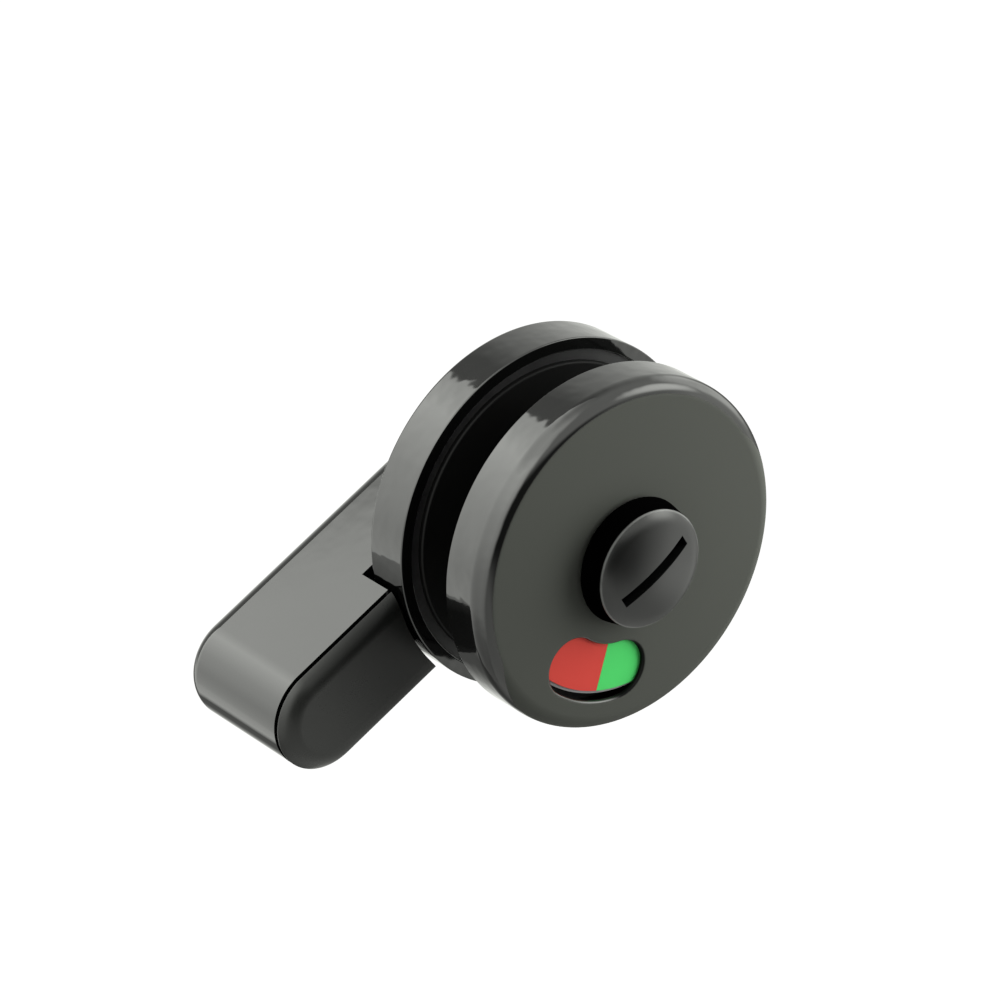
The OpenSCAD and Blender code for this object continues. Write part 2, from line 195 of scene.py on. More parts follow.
def makeLacquer():
    material, r = finish("glossLacquer")
    across, along, upward = r.split(r.place())
    radius = (across * across + upward * upward) ** 0.5
    # painted light: the reach carries the paler matt face colour over the rounding on the lower right side only
    side = across * lacquer["overSide"][0] + upward * lacquer["overSide"][1]
    reach = r.ease(side, *lacquer["overFrom"]) * r.ease(radius, *lacquer["overRing"]) * lacquer["overReach"]
    face = r.ease(along - reach, lacquer["face"], lacquer["face"] + lacquer["faceFade"], (1.0, 0.0))
    # painted shade: the window's right lip is made dull near-black with almost no reflection
    lip = r.ease(across, *lacquer["lipAcross"]) * (radius < lacquer["lipRing"]) * (along < 0.0)
    turned = r.ease(radius, *lacquer["peelRing"]) * (radius < lacquer["roseReach"])
    turned = turned * r.ease(along, *lacquer["peelEnd"], (1.0, 0.0))  # the roses' turned sides have most peel
    peel = (r.cloud(lacquer["peel"], 1.0) - 0.5) * (lacquer["armPeel"] + turned * (1 - lacquer["armPeel"]))
    dust = r.specks(4.6 * mm, 0.07 * mm, 0.10)
    base = r.blendColour(r.cloud(9 * mm, 3), lacquer["colour"], lacquer["worn"])
    smear = r.cloud(14 * mm, 4, 0.6)
    gloss = r.node("BsdfPrincipled", {}, {
        "Base Color": r.blendColour(dust, base, lacquer["dust"]), "IOR": lacquer["ior"],
        "Roughness": lacquer["gloss"] + smear * 0.04 + dust * 0.5, "Normal": r.bump(peel, lacquer["peelDepth"])})
    matt = r.node("BsdfPrincipled", {}, {
        "Base Color": r.blendColour(smear, lacquer["matt"], lacquer["mattWorn"]),
        "Roughness": lacquer["mattRough"] + smear * 0.08, "Specular IOR Level": 0.15})
    # dull near-black used on the right lip as painted shade
    dull = r.node("BsdfPrincipled", {}, {
        "Base Color": nearBlack, "Roughness": 0.5 + smear * 0.08, "Specular IOR Level": 0.05})
    sides = r.node("MixShader", {}, {0: lip, 1: gloss, 2: dull})
    r.surface(r.node("MixShader", {}, {0: face, 1: sides, 2: matt}))
    return material


# Plain plastics, metals and rubbers share one maker: colour drift, roughness drift and a grain
def makePlain(name, colour, shade, rough, grain, depth, metal, ior):
    material, r = finish(name)
    drift = r.cloud(6 * mm, 4)
    fine = r.cloud(grain * mm, 2)
    r.surface(r.node("BsdfPrincipled", {}, {
        "Base Color": r.blendColour(drift, colour, shade), "Roughness": rough + drift * 0.12 + fine * 0.06,
        "Metallic": metal, "IOR": ior, "Normal": r.bump(fine, depth * mm)}))
    return material


# Knob: satin crown with a pale ring at its edge, a painted highlight broken up by noise; dull near-black flank behind
# it, painted shade
knobLook = {"crown": (0.004, 0.0042, 0.004, 1), "worn": (0.0065, 0.0067, 0.0063, 1), "rough": 0.2,
            "edge": (-11.95 * mm, -11.85 * mm), "paintedRimColour": (0.11, 0.113, 0.107, 1), "paintedRimRing": (8.4 * mm, 8.62 * mm),
            "grain": 0.25 * mm, "grainDepth": 0.002 * mm}


def makeKnobFinish():
    material, r = finish("satinBlack")
    across, along, upward = r.split(r.place())
    drift = r.cloud(6 * mm, 4)
    radius = (across * across + upward * upward) ** 0.5
    # painted highlight: a pale ring just inside the knob's edge, broken up by noise
    paintedRim = r.ease(radius, *knobLook["paintedRimRing"]) * r.ease(r.cloud(4 * mm, 3), 0.25, 0.6, (0.3, 1.0))
    base = r.blendColour(drift, knobLook["crown"], knobLook["worn"])
    crown = r.node("BsdfPrincipled", {}, {
        "Base Color": r.blendColour(paintedRim, base, knobLook["paintedRimColour"]), "Roughness": knobLook["rough"] + drift * 0.08,
        "IOR": 1.44, "Normal": r.bump(r.cloud(knobLook["grain"], 2), knobLook["grainDepth"])})
    # painted shade: the flank is near-black with no reflection at all, standing in for the shade round the knob's
    # side
    flank = r.node("BsdfPrincipled", {}, {
        "Base Color": nearBlack, "Roughness": 0.5 + drift * 0.1, "Specular IOR Level": 0.0})
    r.surface(r.node("MixShader", {}, {0: r.ease(along, *knobLook["edge"]), 1: crown, 2: flank}))
    return material


# Pad: paler and shinier towards the tip, darker and dull near the rose, painted shade of the rose
padLook = {"near": (0.005, 0.0053, 0.0048, 1), "tip": (0.017, 0.0178, 0.0162, 1), "paintedShadeAlong": (30 * mm, 48 * mm),
           "dullShare": 0.5, "grain": 0.18 * mm, "grainDepth": 0.002 * mm}


def makePadFinish():
    material, r = finish("padBlack")
    across, along, upward = r.split(r.place())
    lean = math.radians(restTurn)
    reach = 0.0 - across * math.sin(lean) - upward * math.cos(lean)
    # painted shade: the colour runs from dark near the rose to paler at the tip
    worn = r.ease(reach, *padLook["paintedShadeAlong"])
    drift, fine = r.cloud(6 * mm, 4), r.cloud(padLook["grain"], 2)
    base = r.blendColour(worn, padLook["near"], padLook["tip"])
    satin = r.node("BsdfPrincipled", {}, {
        "Base Color": base, "Roughness": 0.2 + drift * 0.12 + fine * 0.06, "IOR": 1.35,
        "Normal": r.bump(fine, padLook["grainDepth"])})
    dull = r.node("BsdfPrincipled", {}, {
        "Base Color": base, "Roughness": 0.5 + drift * 0.1, "Specular IOR Level": 0.05})
    # the dull share near the rose lowers its reflection there, also painted shade
    r.surface(r.node("MixShader", {}, {0: (1 - worn) * padLook["dullShare"], 1: satin, 2: dull}))
    return material


# name, colour, shade, roughness, grain and its depth in mm, metallic, IOR
plainFinishes = {
    "black_nylon": ("blackNylon", nearBlack, (0.002, 0.002, 0.002, 1), 0.4, 0.3, 0.001, 0.0, 1.18),
    "grey_nylon": ("greyNylon", (0.22, 0.22, 0.22, 1), (0.28, 0.28, 0.28, 1), 0.4, 0.3, 0.003, 0.0, 1.5),
    "black_rubber": ("blackRubber", nearBlack, (0.002, 0.002, 0.002, 1), 0.45, 0.2, 0.001, 0.0, 1.18),
    "red": ("redPrint", (0.55, 0.054, 0.041, 1), (0.59, 0.062, 0.048, 1), 0.5, 0.3, 0.002, 0.0, 1.25),
    "green": ("greenPrint", (0.066, 0.57, 0.125, 1), (0.078, 0.61, 0.14, 1), 0.5, 0.3, 0.002, 0.0, 1.25),
    "brass": ("brass", (0.62, 0.42, 0.16, 1), (0.70, 0.50, 0.22, 1), 0.2, 0.2, 0.003, 1.0, 1.5),
    "steel": ("steel", (0.52, 0.52, 0.53, 1), (0.62, 0.62, 0.62, 1), 0.2, 0.2, 0.003, 1.0, 1.5),
    "dark_steel": ("darkSteel", (0.03, 0.03, 0.031, 1), (0.05, 0.05, 0.05, 1), 0.35, 0.2, 0.002, 0.6, 1.5),
}
finishes = {"gloss_black": makeLacquer(), "satin_black": makeKnobFinish(), "pad_black": makePadFinish()}
finishes.update({slot: makePlain(*recipe) for slot, recipe in plainFinishes.items()})
print("finishes made:", len(finishes))


def arcPoints(centre, radius, start, end, steps):
    angles = [math.radians(start + (end - start) * k / steps) for k in range(steps + 1)]
    return [(centre[0] + radius * math.cos(a), centre[1] + radius * math.sin(a)) for a in angles]


def meshOf(name, work):
    bmesh.ops.remove_doubles(work, verts=work.verts, dist=1e-7)
    bmesh.ops.recalc_face_normals(work, faces=work.faces)
    mesh = bpy.data.meshes.new(name)
    work.to_mesh(mesh)
    work.free()
    return mesh


def linked(name, mesh):
    thing = bpy.data.objects.new(name, mesh)
    bpy.context.scene.collection.objects.link(thing)
    return thing


# A closed section of (radius, depth) in millimetres, turned about an axis along Y through (x, z)
def lathe(name, section, steps=256, axis=(0, 0)):
    work = bmesh.new()
    rings = []
    for k in range(steps):
        turn = 2 * math.pi * k / steps
        rings.append([work.verts.new((
            (axis[0] + r * math.cos(turn)) * mm, y * mm, (axis[1] + r * math.sin(turn)) * mm)) for r, y in section])
    for k in range(steps):
        here, there = rings[k], rings[(k + 1) % steps]
        for i in range(len(section)):
            j = (i + 1) % len(section)
            if section[i][0] > 0 or section[j][0] > 0:
                work.faces.new((here[i], here[j], there[j], there[i]))
    bmesh.ops.dissolve_degenerate(work, dist=1e-8, edges=work.edges)
    return meshOf(name, work)


# A skin over outlines of equal count, each given as (x, z) points at a depth, closed at both ends
def loft(name, layers):
    work = bmesh.new()
    rings = [[work.verts.new((x * mm, y * mm, z * mm)) for x, z in outline] for y, outline in layers]
    for low, high in zip(rings, rings[1:]):
        for i in range(len(low)):
            j = (i + 1) % len(low)
            work.faces.new((low[i], low[j], high[j], high[i]))
    work.faces.new(rings[0])
    work.faces.new(rings[-1])
    return meshOf(name, work)


def turnedBy(mesh, degrees):
    mesh.transform(Matrix.Rotation(math.radians(degrees), 4, "Y"))
    return mesh


# Cuts closed meshes out of a body, or joins them to it, and gives back one plain mesh
def carve(mesh, tools, how="DIFFERENCE"):
    body = linked("carving", mesh)
    helpers = [linked("tool", tool) for tool in tools]
    for helper in helpers:
        step = body.modifiers.new("carve", "BOOLEAN")
        step.object, step.operation, step.solver = helper, how, "EXACT"
    result = bpy.data.meshes.new_from_object(body.evaluated_get(bpy.context.evaluated_depsgraph_get()))
    for thing in [body] + helpers:
        bpy.data.objects.remove(thing)
    return result


# Makes a mesh into a piece that stands for its nodes: finish, eased edges, even shading, body and slot
def settle(name, mesh, nodes, edge=0.0, steps=2, sharp=32, limit=40):
    mesh.materials.clear()
    mesh.materials.append(finishes[slotOf[nodes[0]]])
    mesh.shade_smooth()
    mesh.set_sharp_from_angle(angle=math.radians(sharp))
    piece = linked(name, mesh)
    if edge:
        bevel = piece.modifiers.new("easedEdges", "BEVEL")
        bevel.width, bevel.segments = edge * mm, steps
        bevel.limit_method, bevel.angle_limit, bevel.harden_normals = "ANGLE", math.radians(limit), False
    piece.modifiers.new("evenShade", "WEIGHTED_NORMAL").keep_sharp = True
    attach(piece, bodyOf[nodes[0]])
    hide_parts(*nodes)
    return piece


# A merged copy of a solid, for the inner pieces whose shape is already right
def copied(node):
    work = bmesh.new()
    work.from_mesh(solids[node].data)
    bmesh.ops.remove_doubles(work, verts=work.verts, dist=1e-6)
    bmesh.ops.dissolve_limit(work, angle_limit=math.radians(0.5), verts=work.verts, edges=work.edges)
    mesh = bpy.data.meshes.new(node)
    work.to_mesh(mesh)
    work.free()
    return mesh


def rod(radius, start, end, axis=(0, 0), steps=64):
    return lathe("rod", [(0, start), (radius, start), (radius, end), (0, end)], steps, axis)


# A rod across the spindle at a depth, pointing along +X turned about the spindle
def crossRod(radius, start, end, depth, turn):
    mesh = rod(radius, start, end, steps=32)
    mesh.transform(Matrix.Translation((0, depth * mm, 0)) @ Matrix.Rotation(math.radians(turn), 4, "Y")
                   @ Matrix.Rotation(math.radians(-90), 4, "Z"))
    return mesh


# Public rose: a turned shell with a rounded face edge and a bean-shaped window
roseFront = {"radius": 26.0, "front": -7.8, "faceRound": 2.5, "rim": 1.9, "wall": 0.7, "backEase": 0.2,
             "bearing": 7.2, "collar": 9.0, "collarBack": -4.6, "plate": -2.4, "cavity": 23.2,
             "screwTurn": 50, "screwDepth": -1.6, "screwHole": 1.02}
window = {"drop": 4.1, "arc": 13.0, "half": 4.2, "halfAngle": 19.5, "lip": 0.5, "lipSteps": 8}


def windowOutline(grow):
    half, spread = window["half"] + grow, window["halfAngle"]
    centre = (0, -window["drop"])
    ends = [arcPoints(centre, window["arc"], 270 + s, 270 + s, 1)[0] for s in (spread, -spread)]
    outer = arcPoints(centre, window["arc"] + half, 270 - spread, 270 + spread, 40)
    right = arcPoints(ends[0], half, 270 + spread, 450 + spread, 28)
    inner = arcPoints(centre, window["arc"] - half, 270 + spread, 270 - spread, 40)
    left = arcPoints(ends[1], half, 90 - spread, 270 - spread, 28)
    return outer[:-1] + right[:-1] + inner[:-1] + left[:-1]


def windowCutter():
    front, lip = roseFront["front"], window["lip"]
    layers = [(front - 1, windowOutline(lip))]
    for k in range(window["lipSteps"] + 1):
        lean = math.pi / 2 * k / window["lipSteps"]
        layers.append((front + lip * (1 - math.cos(lean)), windowOutline(lip * (1 - math.sin(lean)))))
    layers.append((front + roseFront["wall"] + 1, windowOutline(0)))
    return loft("windowCutter", layers)


def makeRoseFront():
    p = roseFront
    inside, ease = p["radius"] - p["rim"], p["backEase"]
    section = [(p["bearing"], p["collarBack"]), (p["bearing"], p["front"])]
    section += arcPoints((p["radius"] - p["faceRound"], p["front"] + p["faceRound"]), p["faceRound"], -90, 0, 24)
    section += arcPoints((p["radius"] - ease, -ease), ease, 0, 90, 4)
    section += arcPoints((inside + ease, -ease), ease, 90, 180, 4)
    section += [(inside, p["plate"]), (p["cavity"], p["plate"]), (p["cavity"], p["front"] + p["wall"]),
                (p["collar"], p["front"] + p["wall"]), (p["collar"], p["collarBack"])]
    hole = crossRod(p["screwHole"], inside - 2, p["radius"] + 1, p["screwDepth"], p["screwTurn"])
    return carve(lathe("roseFront", section), [windowCutter(), hole])


settle("roseFront", makeRoseFront(), ["outer_rose"])
print("public rose made")

# Inner rose: plainer, with a small rounding at its back
roseRear = {"radius": 26.0, "start": 10.0, "back": 17.2, "backRound": 0.6, "rim": 1.9, "frontEase": 0.2,
            "plate": 12.8, "cavity": 23.2, "cavityBack": 15.4, "bearing": 5.6, "screwDepth": 11.8}


def makeRoseRear():
    p = roseRear
    inside, ease = p["radius"] - p["rim"], p["frontEase"]
    section = [(p["bearing"], p["cavityBack"]), (p["cavity"], p["cavityBack"]), (p["cavity"], p["plate"]),
               (inside, p["plate"])]
    section += arcPoints((inside + ease, p["start"] + ease), ease, 180, 270, 4)
    section += arcPoints((p["radius"] - ease, p["start"] + ease), ease, 270, 360, 4)
    section += arcPoints((p["radius"] - p["backRound"], p["back"] - p["backRound"]), p["backRound"], 0, 90, 8)
    section += [(p["bearing"], p["back"])]
    hole = crossRod(roseFront["screwHole"], inside - 2, p["radius"] + 1, p["screwDepth"], roseFront["screwTurn"])
    return carve(lathe("roseRear", section), [hole])


settle("roseRear", makeRoseRear(), ["inner_rose"])
print("inner rose made")

# Coin knob: crowned face, soft shoulder, nearly upright side and a coin slot a little off the arm's line
knob = {"apex": -13.75, "crown": 28.0, "shoulder": 6.0, "edge": 8.7, "edgeDepth": -12.0, "belly": 9.3,
        "bellyDepth": -8.6, "foot": 9.0, "footDepth": -8.15, "stem": 5.95, "stemEnd": -4.3, "squareHole": 5.04,
        "squareStart": -10.85, "pinHole": 0.82, "pinDepth": -6.2, "slotLong": 12.5, "slotWide": 1.75,
        "slotDeep": 1.9, "slotTurn": 38.7}


def boxOf(wide, start, end, tall):
    x, z = wide / 2, tall / 2
    outline = [(-x, -z), (x, -z), (x, z), (-x, z)]
    return loft("box", [(start, outline), (end, outline)])


def makeKnob():
    p = knob
    soft, crownCentre = p["shoulder"], p["apex"] + p["crown"]
    toCrown = (-p["edge"], crownCentre - p["edgeDepth"])
    gap = math.hypot(*toCrown)
    # the shoulder passes through the edge and touches the crown from inside
    corner = (soft ** 2 + gap ** 2 - (p["crown"] - soft) ** 2) / (2 * soft * gap)
    lean = math.atan2(toCrown[1], toCrown[0]) + math.acos(corner)
    centre = (p["edge"] + soft * math.cos(lean), p["edgeDepth"] + soft * math.sin(lean))
    meet = math.degrees(math.asin(centre[0] / (p["crown"] - soft)))
    section = [(0, p["stemEnd"]), (0, p["apex"])]
    section += arcPoints((0, crownCentre), p["crown"], -90, -90 + meet, 12)[1:]
    section += arcPoints(centre, soft, -90 + meet, math.degrees(lean) - 180, 14)[1:]
    section += [(p["belly"], p["bellyDepth"]), (p["belly"] - 0.1, p["bellyDepth"] + 0.2),
                (p["foot"], p["footDepth"]), (p["stem"], p["footDepth"]), (p["stem"], p["stemEnd"])]
    slot = boxOf(p["slotWide"], p["apex"] - 1, p["apex"] + p["slotDeep"], p["slotLong"])
    slot = turnedBy(slot, p["slotTurn"])
    square = boxOf(p["squareHole"], p["squareStart"], p["stemEnd"] + 1, p["squareHole"])
    square = turnedBy(square, restTurn)
    pin = crossRod(p["pinHole"], -8, 8, p["pinDepth"], restTurn)
    return carve(lathe("coinKnob", section), [slot, square, pin])


settle("coinKnob", makeKnob(), ["coin_knob"], edge=0.15, limit=38)
print("knob made")

# Arm: a hollow round-ended shell whose back edge is rounded, and a crowned pad block set into it from the glass side
arm = {"half": 8.0, "long": 43.0, "shellStart": 12.866, "back": 34.1, "backRound": 3.0, "wall": 1.6,
       "floor": 31.4, "notch": 26.65, "hub": 18.8, "socket": 5.9, "socketBack": 31.0, "grubHole": 2.02,
       "grubDepth": 24.9, "near": 32.4, "screwHole": 1.7, "headHole": 3.0, "headDepth": 32.5,
       "padFront": 10.6, "padBack": 12.116, "padBorder": 3.1, "padRound": 4.2, "spigot": 2.5, "post": 3.0,
       "bore": 1.5, "boreLong": 9.0}


def hangingOutline(half):
    return arcPoints((0, 0), half, 0, 180, 64) + arcPoints((0, -arm["long"]), half, 180, 360, 64)


def hangingBar(name, layers):
    return loft(name, [(depth, hangingOutline(half)) for depth, half in layers])


def backRounding(steps):
    layers, radius = [], arm["backRound"]
    for k in range(steps + 1):
        lean = math.pi / 2 * k / steps
        layers.append((arm["back"] - radius * (1 - math.sin(lean)), arm["half"] - radius * (1 - math.cos(lean))))
    return layers


def makeShell():
    p = arm
    shell = hangingBar("armShell", [(p["shellStart"], p["half"])] + backRounding(14))
    inside = p["half"] - p["wall"]
    hollow = hangingBar("hollow", [(p["shellStart"] - 1, inside), (p["floor"], inside)])
    hollow = carve(hollow, [rod(p["notch"] + p["wall"], p["shellStart"] - 2, p["back"], steps=256)])
    grub = crossRod(p["grubHole"], 0, 16, p["grubDepth"], -90)
    tools = [rod(p["notch"], p["shellStart"] - 1, p["hub"], steps=256), hollow,
             rod(p["socket"], p["hub"] - 1, p["socketBack"]), grub]
    for drop in (p["near"], p["long"]):
        tools.append(rod(p["screwHole"], p["floor"] - 1, p["back"] + 1, (0, -drop), 48))
        tools.append(rod(p["headHole"], p["headDepth"], p["back"] + 1, (0, -drop), 48))
    return turnedBy(carve(shell, tools), restTurn)


def makePad():
    p = arm
    leans = [math.asin(p["padBorder"] / p["padRound"]) * k / 16 for k in range(17)]
    flat, bend = p["half"] - p["padBorder"], p["padRound"]
    crown = [(p["padFront"] + bend * (1 - math.cos(a)), flat + bend * math.sin(a)) for a in leans]
    block = hangingBar("armPad", crown + [(p["padBack"], p["half"])])
    block = carve(block, [rod(p["notch"], p["padFront"] - 1, p["padBack"] + 1, steps=256)])
    inset = p["half"] - p["wall"] - 0.1
    spigot = hangingBar("spigot", [(p["padBack"] - 0.2, inset), (p["padBack"] + p["spigot"], inset)])
    clear = rod(p["notch"] + p["wall"] + 0.1, p["padBack"] - 1, p["padBack"] + p["spigot"] + 1, steps=256)
    spigot = carve(spigot, [clear])
    seats = [(0, -p["near"]), (0, -p["long"])]
    posts = [rod(p["post"], p["padBack"] - 0.1, p["floor"], seat, 48) for seat in seats]
    bores = [rod(p["bore"], p["floor"] - p["boreLong"], p["floor"] + 1, seat, 32) for seat in seats]
    return turnedBy(carve(carve(block, [spigot] + posts, "UNION"), bores), restTurn)


settle("armShell", makeShell(), ["arm_shell"], edge=0.15)
settle("armPad", makePad(), ["arm_pad"], edge=0.12)
print("arm made")

# Soft rings against the glass, with a rounded outer lip
gasket = {"outer": 22.4, "inner": 13.5, "thick": 0.8, "round": 0.4}


def makeGasket(name, low, roundHigh):
    p = gasket
    high = low + p["thick"]
    section, inset = [(p["inner"], low), (p["inner"], high)], p["outer"] - p["round"]
    if roundHigh:
        section += arcPoints((inset, high - p["round"]), p["round"], 90, 0, 6) + [(p["outer"], low)]
    else:
        section += [(p["outer"], high)] + arcPoints((inset, low + p["round"]), p["round"], 0, -90, 6)
    return lathe(name, section)


settle("gasketFront", makeGasket("gasketFront", -gasket["thick"], True), ["outer_gasket"])
settle("gasketRear", makeGasket("gasketRear", 10.0, False), ["inner_gasket"])

# Inner pieces: copies of the solids with their edges eased
easedCopies = {
    "outer_bearing": 0.08, "outer_base_plate": 0.15, "post_left": 0.15, "post_right": 0.15, "glass_bush": 0.2,
    "inner_base_plate": 0.15, "inner_bearing": 0.08, "thrust_washer": 0.05, "knob_pin": 0.1, "spindle": 0.15,
    "indicator_disc": 0.06, "red_segment": 0.04, "green_segment": 0.04, "stop_pin": 0.12, "arm_socket": 0.15,
}
for node, edge in easedCopies.items():
    first, *rest = node.split("_")
    settle(first + "".join(word.capitalize() for word in rest), copied(node), [node], edge)
print("inner pieces dressed:", len(easedCopies))


# Geometry trees: named inputs with their sizes, ending in real geometry with a finish
def geometryTree(name, inputs):
    tree = bpy.data.node_groups.new(name, "GeometryNodeTree")
    recipe = Recipe(tree)
    tree.interface.new_socket("Geometry", in_out="INPUT", socket_type="NodeSocketGeometry")
    tree.interface.new_socket("Geometry", in_out="OUTPUT", socket_type="NodeSocketGeometry")
    for label, value in inputs.items():
        kind = "NodeSocketVector" if isinstance(value, tuple) else "NodeSocketFloat"
        tree.interface.new_socket(label, in_out="INPUT", socket_type=kind).default_value = value
    entry = tree.nodes.new("NodeGroupInput")
    return recipe, {socket.name: Wire(recipe, socket) for socket in entry.outputs if socket.name}


def closeTree(recipe, geometry, material):
    real = recipe.node("GeometryNodeRealizeInstances", {}, {0: geometry})
    done = recipe.node("GeometryNodeSetMaterial", {}, {"Geometry": real, "Material": material})
    recipe.tree.links.new(done.socket, recipe.tree.nodes.new("NodeGroupOutput").inputs[0])
    return recipe.tree


# Runs a tree on points, with its inputs set by their identifiers, and gives back a plain mesh
def grown(name, tree, points, values):
    seed = bpy.data.meshes.new(name)
    seed.from_pydata(points, [], [])
    holder = linked(name, seed)
    step = holder.modifiers.new("grow", "NODES")
    step.node_group = tree
    for item in tree.interface.items_tree:
        if item.in_out == "INPUT" and item.name in values:
            step[item.identifier] = values[item.name]
    mesh = bpy.data.meshes.new_from_object(holder.evaluated_get(bpy.context.evaluated_depsgraph_get()))
    bpy.data.objects.remove(holder)
    return mesh


# Socket screw: head with a hexagon socket, shank with a wound thread, put on every point and turned
screwSizes = {"Head Radius": 3.4 * mm, "Head Height": 2.2 * mm, "Shank Radius": 1.98 * mm, "Shank Length": 11.8 * mm,
              "Socket Radius": 1.7 * mm, "Socket Depth": 1.3 * mm, "Thread Pitch": 0.7 * mm,
              "Turn": (-math.pi / 2, 0.0, 0.0)}


def screwTree(name, slot):
    r, size = geometryTree(name, screwSizes)
    half = 0.5

    def drum(count, radius, depth, middle):
        made = r.node("GeometryNodeMeshCylinder", {}, {"Vertices": count, "Radius": radius, "Depth": depth}, "Mesh")
        lift = r.node("CombineXYZ", {}, {"Z": middle})
        return r.node("GeometryNodeTransform", {}, {"Geometry": made, "Translation": lift})

    head = drum(48, size["Head Radius"], size["Head Height"], size["Head Height"] * half)
    core = size["Shank Radius"] - size["Thread Pitch"] * 0.3
    shank = drum(32, core, size["Shank Length"] + 0.2 * mm, 0.1 * mm - size["Shank Length"] * half)
    solid = r.node("GeometryNodeMeshBoolean", {"operation": "UNION"}, {"Mesh 2": [head, shank]}, "Mesh")
    key = drum(6, size["Socket Radius"], size["Socket Depth"] * 2, size["Head Height"])
    cut = r.node("GeometryNodeMeshBoolean", {"operation": "DIFFERENCE"}, {"Mesh 1": solid, "Mesh 2": key}, "Mesh")
    turns = (size["Shank Length"] - 1.2 * mm) / size["Thread Pitch"]
    coil = r.node("GeometryNodeCurveSpiral", {}, {
        "Resolution": 24, "Rotations": turns, "Start Radius": core, "End Radius": core,
        "Height": size["Shank Length"] - 1.2 * mm})
    low = r.node("CombineXYZ", {}, {"Z": 0.3 * mm - size["Shank Length"]})
    coil = r.node("GeometryNodeTransform", {}, {"Geometry": coil, "Translation": low})
    ridge = r.node("GeometryNodeCurvePrimitiveCircle", {}, {
        "Resolution": 4, "Radius": size["Thread Pitch"] * 0.28})
    thread = r.node("GeometryNodeCurveToMesh", {}, {
        "Curve": coil, "Profile Curve": ridge, "Fill Caps": True})
    screw = r.node("GeometryNodeJoinGeometry", {}, {0: [cut, thread]})
    placed = r.node("GeometryNodeInstanceOnPoints", {}, {
        "Points": size["Geometry"], "Instance": screw, "Rotation": size["Turn"]})
    return closeTree(r, placed, finishes[slot])


armTurn = math.radians(restTurn)


def onArm(depth, drop):
    return (-drop * mm * math.sin(armTurn), depth * mm, -drop * mm * math.cos(armTurn))


steelScrew, darkScrew = screwTree("steelScrew", "steel"), screwTree("darkScrew", "dark_steel")
clampSeats = [(-8.5 * mm, 12.8 * mm, 0), (8.5 * mm, 12.8 * mm, 0)]
settle("clampScrews", grown("clampScrews", steelScrew, clampSeats, {}), ["clamp_screw_left", "clamp_screw_right"])
padSizes = {"Head Radius": 2.8 * mm, "Head Height": 1.5 * mm, "Shank Radius": 1.46 * mm, "Shank Length": 9.1 * mm,
            "Socket Radius": 1.4 * mm, "Socket Depth": 1.0 * mm, "Thread Pitch": 0.5 * mm}
padSeats = [onArm(arm["headDepth"], arm["near"]), onArm(arm["headDepth"], arm["long"])]
settle("padScrews", grown("padScrews", darkScrew, padSeats, padSizes), ["pad_screw_near", "pad_screw_far"])
roseTurn = math.radians(roseFront["screwTurn"])
grubSizes = {"Head Radius": 1.0 * mm, "Head Height": 1.0 * mm, "Shank Radius": 0.98 * mm, "Shank Length": 1.5 * mm,
             "Socket Radius": 0.6 * mm, "Socket Depth": 0.8 * mm, "Thread Pitch": 0.25 * mm,
             "Turn": (0.0, math.pi / 2 + roseTurn, 0.0)}
grubReach = 24.5 * mm
grubSeats = [(grubReach * math.cos(roseTurn), depth * mm, -grubReach * math.sin(roseTurn))
             for depth in (roseFront["screwDepth"], roseRear["screwDepth"])]
settle("roseGrubs", grown("roseGrubs", darkScrew, grubSeats, grubSizes), ["outer_grub_screw", "inner_grub_screw"])
armGrubSizes = {"Head Radius": 2.0 * mm, "Head Height": 1.6 * mm, "Shank Radius": 1.96 * mm, "Shank Length": 3.3 * mm,
                "Socket Radius": 1.2 * mm, "Socket Depth": 1.2 * mm, "Thread Pitch": 0.5 * mm,
                "Turn": (0.0, armTurn, 0.0)}
armGrubSeat = [onArm(arm["grubDepth"], -5.8)]
settle("armGrub", grown("armGrub", darkScrew, armGrubSeat, armGrubSizes), ["arm_grub_screw"])
print("screws grown")

# Wave washer between the arm and the rose: a ring whose height follows a cosine
waveSizes = {"Inner Radius": 4.5 * mm, "Outer Radius": 6.9 * mm, "Middle": 18.475 * mm, "Swing": 0.2 * mm,
             "Waves": 3.0, "Phase": armTurn}
waveThick = 0.25


def waveTree():
    r, size = geometryTree("waveWasher", waveSizes)
    strip = r.node("GeometryNodeMeshGrid", {}, {
        "Size X": 2 * math.pi, "Size Y": 1.0, "Vertices X": 145, "Vertices Y": 4}, "Mesh")
    turn, share, flat = r.split(r.node("GeometryNodeInputPosition"))
    radius = size["Inner Radius"] + (share + 0.5) * (size["Outer Radius"] - size["Inner Radius"])
    swing = turn.maths("COSINE", (turn + size["Phase"]) * size["Waves"])
    spot = r.node("CombineXYZ", {}, {
        "X": radius * turn.maths("COSINE", turn), "Y": size["Middle"] + size["Swing"] * swing,
        "Z": radius * turn.maths("SINE", turn)})
    ring = r.node("GeometryNodeSetPosition", {}, {"Geometry": strip, "Position": spot})
    merged = r.node("GeometryNodeMergeByDistance", {}, {"Geometry": ring, "Distance": 0.01 * mm})
    return closeTree(r, merged, finishes["steel"])


def makeWave():
    holder = linked("wave", grown("wave", waveTree(), [(0, 0, 0)], {}))
    wall = holder.modifiers.new("sheet", "SOLIDIFY")
    wall.thickness, wall.offset = waveThick * mm, 0.0
    mesh = bpy.data.meshes.new_from_object(holder.evaluated_get(bpy.context.evaluated_depsgraph_get()))
    bpy.data.objects.remove(holder)
    return mesh


settle("waveWasher", makeWave(), ["wave_washer"])
print("washer grown")


# Stage: pale floor well below, since the real thing hangs on a door
stagePlan = {"floorDrop": -0.28, "floorHalf": 4.0, "floorColour": (0.8, 0.8, 0.79, 1), "cameraLift": 0.74,
             "skyDiffuse": 0.4}

